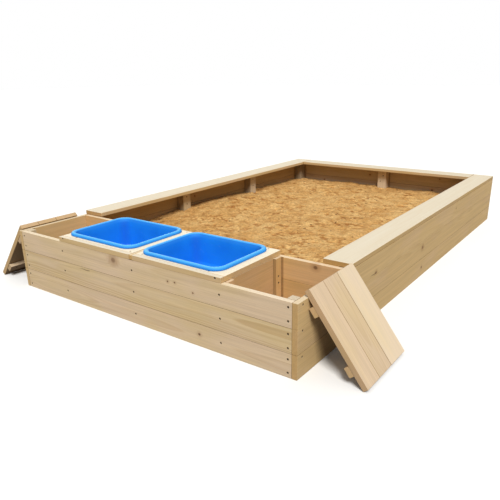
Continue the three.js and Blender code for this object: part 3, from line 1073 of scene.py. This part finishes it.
def sand_relief(x, y):
    """Height of the trodden lumps and pits on the sand's level, and how much painted shade the place gets
    for being hollow, 0 to 1.
    """
    spot = Vector((x, y, 0.0))

    def bumps(per_metre, *shift):
        return noise.noise(spot * per_metre + Vector(shift))

    # In millimetres: broad dents, then lumps, bites and small prints that are weak where it is packed
    tread = bumps(13, 0, 0, 0) * 5.0 + bumps(27, 5, 1, 0) * 3.0
    loose = 0.25 + 0.75 * clamp(0.5 + 2.4 * bumps(9, 0, 4, 7))
    lumps = noise.fractal(spot * 29 + Vector((1, 9, 0)), 0.4, 2.2, 4) * 3.6 * loose
    bites = 8.0 * min(0.0, bumps(61, 3, 8, 2) + 0.2) * loose
    prints = -5.0 * max(0.0, 1.0 - noise.voronoi(spot * 13)[0][0] / 0.13)
    fine = lumps + bites + prints
    # The second value is painted shade, most in the pits
    return (tread + fine) * MM, clamp(0.38 - fine / 5)


def close_block(shape, floor_level):
    """Walls down from the edges of an open surface, and a flat bottom."""
    edges = [edge for edge in shape.edges if edge.is_boundary]
    sides = bmesh.ops.extrude_edge_only(shape, edges=edges)["geom"]
    for item in sides:
        if isinstance(item, bmesh.types.BMVert):
            item.co.z = floor_level
    rim = [item for item in sides if isinstance(item, bmesh.types.BMEdge) and item.is_boundary]
    bmesh.ops.triangle_fill(shape, edges=rim, use_beauty=True)
    bmesh.ops.recalc_face_normals(shape, faces=shape.faces)


def sand():
    """A block of loose sand whose top is a fine grid, notched round every post."""
    low, high = SAND_BOX
    notches = []
    for node in frame["nodes"]:
        if "post" in node and "front_post" not in node:
            near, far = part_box(node)
            notches.append((near.x - NOTCH_GAP, far.x + NOTCH_GAP, near.y - NOTCH_GAP, far.y + NOTCH_GAP))
    columns = grid_lines(low.x, high.x, [edge for notch in notches for edge in notch[:2]])
    rows = grid_lines(low.y, high.y, [edge for notch in notches for edge in notch[2:]])
    shape = bmesh.new()
    hollow = shape.verts.layers.float.new("hollow")
    tops = {}

    def kept(column, row):
        x = (columns[column] + columns[column + 1]) / 2
        y = (rows[row] + rows[row + 1]) / 2
        return not any(left < x < right and near < y < far for left, right, near, far in notches)

    def top(column, row):
        if (column, row) not in tops:
            x, y = columns[column], rows[row]
            relief, depth = sand_relief(x, y)
            vertex = shape.verts.new((x, y, sand_base(x, y) + relief))
            vertex[hollow] = depth
            tops[column, row] = vertex
        return tops[column, row]

    for column, row in itertools.product(range(len(columns) - 1), range(len(rows) - 1)):
        if kept(column, row):
            around = ((column, row), (column + 1, row), (column + 1, row + 1), (column, row + 1))
            shape.faces.new([top(*corner) for corner in around])
    close_block(shape, low.z)
    mesh = bpy.data.meshes.new("sand_surface")
    shape.to_mesh(mesh)
    shape.free()
    for face in mesh.polygons:
        face.use_smooth = face.normal.z > 0.2
    stand_in(new_object("sand_surface", mesh), "sand")


def ground_sheet():
    """A thin woven sheet laid on the ground under the sand, with faint creases."""
    low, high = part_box("ground_sheet")
    columns, rows = SHEET_GRID
    points = []
    for level, row, column in itertools.product((0, 1), range(rows + 1), range(columns + 1)):
        x = low.x + (high.x - low.x) * column / columns
        y = low.y + (high.y - low.y) * row / rows
        crease = SHEET_CREASE * abs(noise.noise(Vector((x * 9, y * 9, 2.0))))
        points.append((x, y, low.z + crease + level * SHEET_THICKNESS))

    def at(level, row, column):
        return (level * (rows + 1) + row) * (columns + 1) + column

    def edge_face(first, second):
        return at(0, *first), at(0, *second), at(1, *second), at(1, *first)

    faces = []
    for level, row, column in itertools.product((0, 1), range(rows), range(columns)):
        here = at(level, row, column)
        beyond = at(level, row + 1, column)
        faces.append((here, here + 1, beyond + 1, beyond))
    faces += [edge_face((row, column), (row + 1, column)) for row in range(rows) for column in (0, columns)]
    faces += [edge_face((row, column), (row, column + 1)) for column in range(columns) for row in (0, rows)]
    made = new_object("ground_sheet_cloth", mesh_from("ground_sheet_cloth", points, faces))
    made.data.shade_smooth()
    stand_in(made, "ground_sheet")


# ---- stage

# The camera: where it stands, and which ways are right and up in its picture
CAMERA_PLACE = Vector((1.11505, -1.83376, 0.68025))
CAMERA_RIGHT = Vector((0.81646, 0.57730, -0.01051))
CAMERA_UP = Vector((-0.18843, 0.28362, 0.94024))
LENS = 38.18
SENSOR = 36
LENS_SHIFT = (-0.02197, 0.03513)

# The light of the dome at the horizon and overhead, and of the two distant lights
DOME_EDGE = 0.04
DOME_TOP = 0.62
DOME_COLOUR = (0.97, 0.985, 1.0, 1.0)
KEY = 3.1
FILL = 0.8
LIGHT_COLOUR = (1.0, 0.985, 0.96)
FLOOR_HALF = 30.0
FLOOR_DROP = 0.3 * MM


def wall_box():
    """Lowest and highest corner of the rectangle of walls, without the lids."""
    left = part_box("left_side_plank_1")[0]
    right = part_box("right_side_plank_1")[1]
    return Vector((left.x, left.y, 0)), Vector((right.x, right.y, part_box("right_seat")[1].z))


def camera():
    """Stands off the front right corner, well above the seats, and looks across the box."""
    lens = bpy.data.cameras.new("camera")
    lens.lens = LENS
    lens.sensor_width = SENSOR
    lens.shift_x, lens.shift_y = LENS_SHIFT
    made = new_object("camera", lens)
    matrix = Matrix((CAMERA_RIGHT, CAMERA_UP, CAMERA_RIGHT.cross(CAMERA_UP))).transposed().to_4x4()
    matrix.translation = CAMERA_PLACE
    made.matrix_world = matrix
    bpy.context.scene.camera = made


def lights():
    """A soft dome, bright overhead and dim at the horizon, a broad key light and a weak fill."""
    world = bpy.data.worlds.new("studio")
    s = Shader(world, "Background")
    height = s.split(s.node("ShaderNodeTexCoord", {}, "Generated"))[2]
    bright = s.node("ShaderNodeMapRange", {"Value": height, "To Min": DOME_EDGE, "To Max": DOME_TOP})
    s.set(Color=DOME_COLOUR, Strength=bright)
    paper = s.node("ShaderNodeBackground", {"Color": grey(1.0)})
    seen = s.node("ShaderNodeLightPath", {}, "Is Camera Ray")
    either = s.node("ShaderNodeMixShader", {0: seen, 1: s.surface.outputs[0], 2: paper})
    s.feed(s.tree.nodes["World Output"].inputs[0], either)
    bpy.context.scene.world = world
    far_light("key", KEY, 20, Vector((-0.6, 0.64, -1.0)))
    far_light("fill", FILL, 50, Vector((0.75, -0.6, -0.2)))


def far_light(name, strength, width, direction):
    """A distant warm white light, so many degrees wide, that shines along a direction."""
    light = bpy.data.lights.new(name, "SUN")
    light.energy = strength
    light.angle = math.radians(width)
    light.color = LIGHT_COLOUR
    made = new_object(name, light)
    made.rotation_euler = direction.to_track_quat("-Z", "Y").to_euler()


def floor():
    """A wide plain floor, a hair below the ground sheet."""
    half = FLOOR_HALF
    points = [(-half, -half, 0), (half, -half, 0), (half, half, 0), (-half, half, 0)]
    mesh = mesh_from("floor", points, [(0, 1, 2, 3)])
    mesh.materials.append(pale_floor("pale_floor"))
    made = new_object("floor", mesh)
    made.location.z = -FLOOR_DROP


bpy.context.scene.view_settings.view_transform = "Standard"

# For pine: the colours of early and late wood, and how much of the late wood shows
MATERIALS = {
    "wall_pine": pine("wall_pine", rgb(224, 203, 170), rgb(192, 160, 116), 0.45),
    "inside_pine": pine("inside_pine", rgb(208, 174, 126), rgb(178, 138, 90), 0.28),
    "seat_pine": pine("seat_pine", rgb(212, 186, 142), rgb(184, 150, 104), 0.5),
    "lid_pine": pine("lid_pine", rgb(212, 190, 157), rgb(188, 161, 122), 0.4),
    "post_pine": pine("post_pine", rgb(206, 190, 160), rgb(178, 154, 118), 0.3),
    "plywood": plywood("plywood"),
    "blue_plastic": blue_plastic("blue_plastic"),
    "loose_sand": loose_sand("loose_sand"),
    "sheet_fabric": woven_sheet("sheet_fabric"),
    "screw_metal": screw_metal("screw_metal"),
}

# The nodes that are plain boards, and the frames of those that seams are looked for between
BOARDS = [node for node in SLOTS if "tub" not in node and node not in ("sand", "ground_sheet")]
BOARD_FRAMES = {node: board_frame(node) for node in BOARDS if SLOTS[node] != "plywood"}
SCREWS = screw_places()


def screws():
    """Screw heads, grouped by the body that carries them."""
    reach = wall_box()[1].x + MM
    screw_heads("frame_screws", ROOT, [screw for screw in SCREWS if abs(screw[0].x) <= reach])
    screw_heads("left_lid_screws", "lid_left", [screw for screw in SCREWS if screw[0].x < -reach])
    screw_heads("right_lid_screws", "lid_right", [screw for screw in SCREWS if screw[0].x > reach])


camera()
lights()
floor()
for node in BOARDS:
    board(node)
deck_panel("left")
deck_panel("right")
screws()
tub("left")
tub("right")
sand()
ground_sheet()
